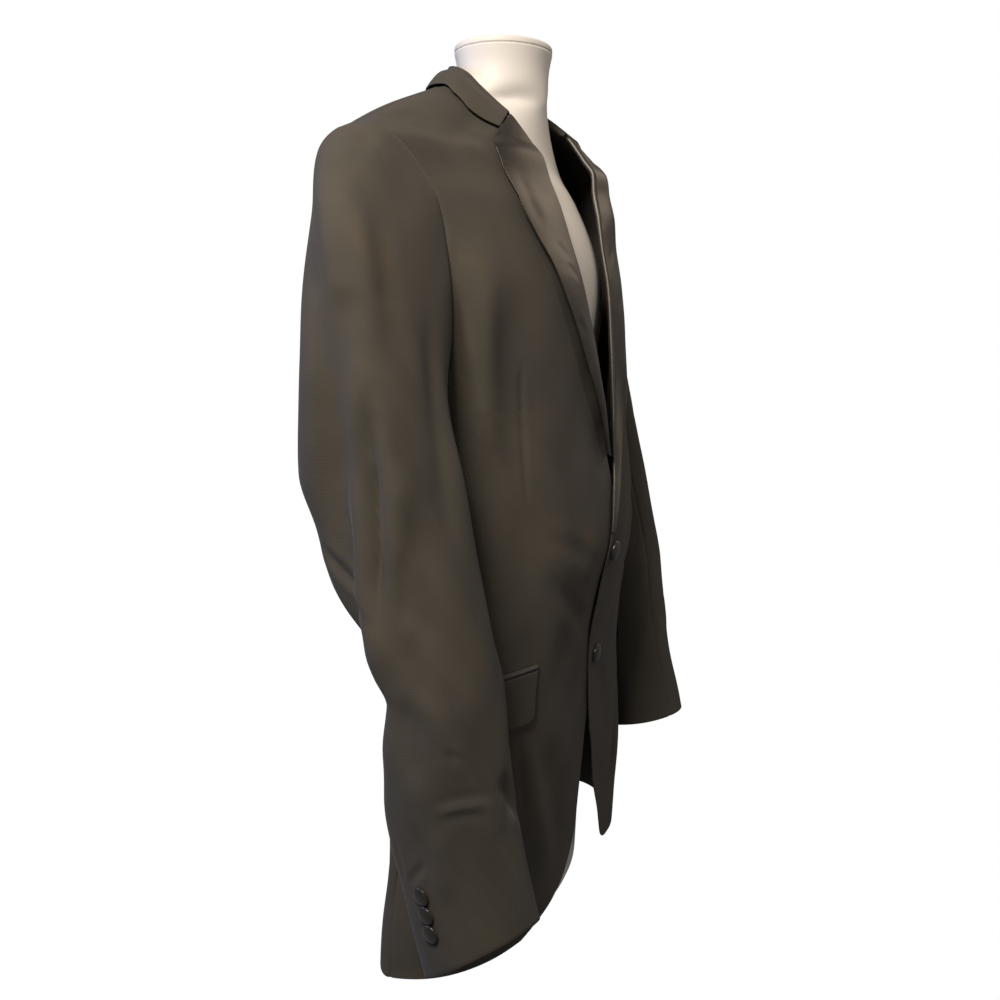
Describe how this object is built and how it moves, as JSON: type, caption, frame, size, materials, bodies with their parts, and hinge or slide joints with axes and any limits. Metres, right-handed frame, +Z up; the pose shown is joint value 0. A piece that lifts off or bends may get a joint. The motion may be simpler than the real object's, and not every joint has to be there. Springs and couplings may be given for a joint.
{
  "type": "tuxedo jacket on a torso form",
  "caption": "Fastened dinner jacket with satin lapels, jetted flap pockets and covered buttons, hanging open below on a smooth headless torso form that stands on its flat foot.",
  "frame": {"origin": "centre of the torso form's flat underside, on the surface it stands on", "axes": "+Z up; the jacket's front faces -Y; +X is the wearer's left"},
  "size_m": [0.5914, 0.2354, 0.8111],
  "materials": {
    "wool_suiting": "black worsted wool suiting, twill weave, matt with a faint sheen",
    "satin_facing": "black silk satin facing, soft sheen",
    "covered_button": "button covered in black satin",
    "torso_form": "smooth off-white moulded shell, satin matt"
  },
  "bodies": {
    "root": {"front_left": "wool_suiting", "front_right": "wool_suiting", "back_left": "wool_suiting", "back_right": "wool_suiting", "top_sleeve_left": "wool_suiting", "top_sleeve_right": "wool_suiting", "under_sleeve_left": "wool_suiting", "under_sleeve_right": "wool_suiting", "collar": "wool_suiting", "pocket_flap_left": "wool_suiting", "pocket_flap_right": "wool_suiting", "lapel_left": "satin_facing", "lapel_right": "satin_facing", "pocket_jet_left": "satin_facing", "pocket_jet_right": "satin_facing", "front_button_1": "covered_button", "front_button_2": "covered_button", "cuff_button_left_1": "covered_button", "cuff_button_left_2": "covered_button", "cuff_button_left_3": "covered_button", "cuff_button_right_1": "covered_button", "cuff_button_right_2": "covered_button", "cuff_button_right_3": "covered_button", "form_body": "torso_form", "form_neck_cap": "torso_form"}
  },
  "joints": []
}
